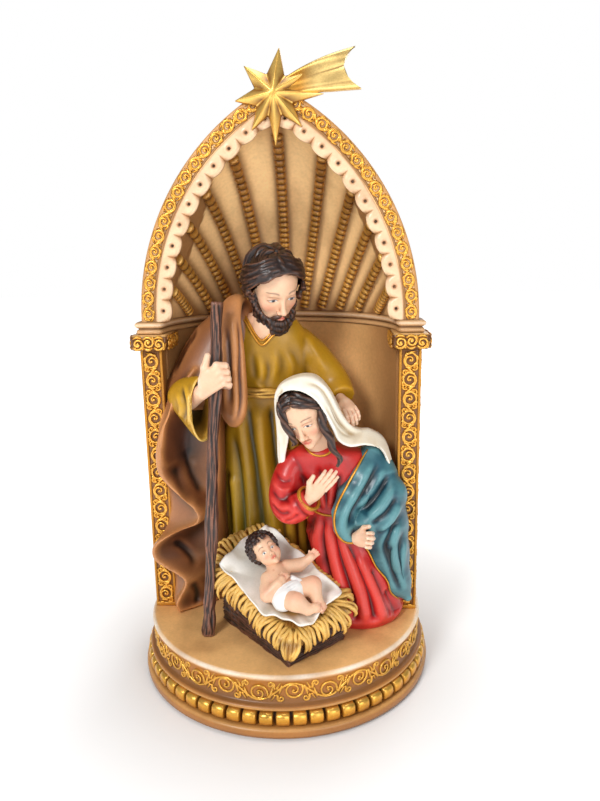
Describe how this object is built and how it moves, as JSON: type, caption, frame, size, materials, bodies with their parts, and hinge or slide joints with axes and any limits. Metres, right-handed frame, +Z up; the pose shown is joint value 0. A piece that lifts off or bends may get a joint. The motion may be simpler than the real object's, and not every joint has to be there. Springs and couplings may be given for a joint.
{
  "type": "holy family dome scene",
  "caption": "Painted resin nativity ornament: standing and kneeling figures and a manger with a lift-out infant, on a round base before a ribbed half-dome niche with a comet star.",
  "frame": {"origin": "on the resting surface, under the middle of the round base", "axes": "+Z up through the comet star, -Y towards the viewer of the open niche, +X to that viewer's right"},
  "size_m": [0.195, 0.195, 0.3882],
  "materials": {
    "tan_resin": "satin tan paint with a brown rubbed wash",
    "gold_resin": "gloss antique gold paint over relief",
    "bronze_resin": "dull bronze paint",
    "cream_resin": "cream paint with brown pits",
    "olive_resin": "satin olive and mustard paint",
    "brown_resin": "satin brown paint with copper edges",
    "hair_resin": "dark brown hair over painted skin",
    "skin_resin": "satin skin paint with a warm blush",
    "wood_resin": "dark wood-grain paint with copper dry-brushing",
    "red_resin": "satin red paint, darker in the folds",
    "teal_resin": "satin teal paint with pale edges",
    "ivory_resin": "satin ivory paint",
    "straw_resin": "golden straw paint with a brown wash",
    "closing_board": "plain fibre board",
    "felt": "thin felt"
  },
  "bodies": {
    "scene": {"base_plinth": "tan_resin", "gadroon_beads": "gold_resin", "base_cover_plate": "closing_board", "felt_pad": "felt", "niche_wall": "tan_resin", "left_pilaster": "gold_resin", "right_pilaster": "gold_resin", "left_capital": "gold_resin", "right_capital": "gold_resin", "cornice_moulding": "tan_resin", "half_dome": "tan_resin", "dome_ribs": "bronze_resin", "arch_band_frame": "gold_resin", "scalloped_lining": "cream_resin", "comet_star": "gold_resin", "star_pin": "wood_resin", "niche_pegs": "wood_resin", "figure_pegs": "wood_resin", "standing_robe": "olive_resin", "standing_belt": "gold_resin", "standing_right_sleeve": "olive_resin", "standing_left_sleeve": "olive_resin", "standing_cloak": "brown_resin", "standing_head": "hair_resin", "standing_beard": "hair_resin", "standing_right_hand": "skin_resin", "standing_left_hand": "skin_resin", "staff": "wood_resin", "kneeling_dress": "red_resin", "kneeling_mantle": "teal_resin", "kneeling_veil": "ivory_resin", "kneeling_head": "skin_resin", "kneeling_right_hand": "skin_resin", "kneeling_left_hand": "skin_resin", "manger_crate": "wood_resin", "straw_bed": "straw_resin", "manger_cloth": "ivory_resin"},
    "infant": {"infant_body": "skin_resin", "infant_head": "hair_resin", "infant_loincloth": "ivory_resin"}
  },
  "joints": [
    {"name": "infant_lift", "type": "slide", "parent": "scene", "child": "infant", "axis": [0.1192, -0.3968, 0.9101], "range_m": [0, 0.09]}
  ]
}
